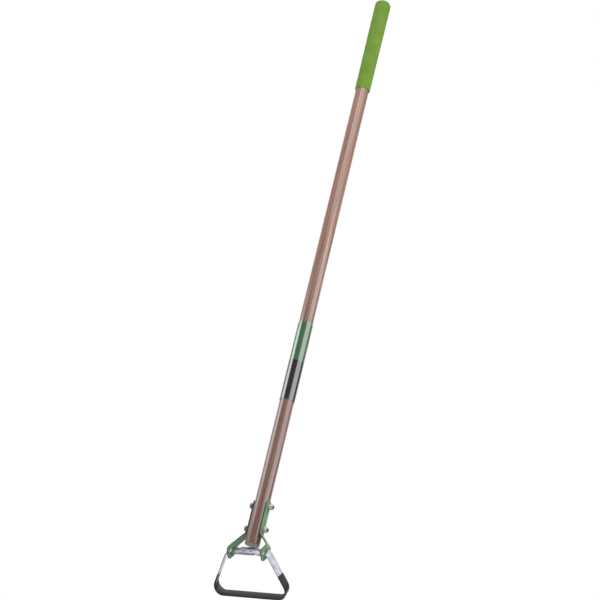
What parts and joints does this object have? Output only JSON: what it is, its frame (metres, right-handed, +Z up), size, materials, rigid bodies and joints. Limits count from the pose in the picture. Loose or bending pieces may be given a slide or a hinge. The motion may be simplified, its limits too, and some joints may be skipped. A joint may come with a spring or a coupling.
{
  "type": "oscillating hoe",
  "caption": "Long-handled weeding hoe: a stirrup-shaped blade rocks loosely in two steel brackets bolted to a round wooden pole with a cushioned grip.",
  "frame": {"origin": "on the handle's axis at the middle of the cushion grip, where the upper hand holds the tool", "axes": "+Z up the handle towards the grip's closed top, +X across the tool along its bolts towards the nuts, +Y away from the user"},
  "size_m": [0.1674, 0.084, 1.4689],
  "materials": {
    "wood": "turned hardwood, clear coated",
    "grip_foam": "soft matt foam rubber",
    "label_film": "printed film, green above and black below, no words",
    "bracket_paint": "green powder coat on pressed steel",
    "fastener_zinc": "bright zinc plate",
    "stirrup_zinc": "zinc plated strip, the blade end dipped black"
  },
  "bodies": {
    "pole": {"handle": "wood", "cushion_grip": "grip_foam", "label_wrap": "label_film", "bracket_left": "bracket_paint", "bracket_right": "bracket_paint", "bolt_lower": "fastener_zinc", "bolt_upper": "fastener_zinc", "nut_lower": "fastener_zinc", "nut_upper": "fastener_zinc", "washer_head_lower": "fastener_zinc", "washer_head_upper": "fastener_zinc", "washer_nut_lower": "fastener_zinc", "washer_nut_upper": "fastener_zinc"},
    "stirrup": {"stirrup_blade": "stirrup_zinc", "rivet_left": "stirrup_zinc", "rivet_right": "stirrup_zinc"}
  },
  "joints": [
    {"name": "stirrup_rock", "type": "hinge", "parent": "pole", "child": "stirrup", "pos_m": [0, -0.0098, -1.26485], "axis": [1, 0, 0], "range_deg": [-29, 1]}
  ]
}
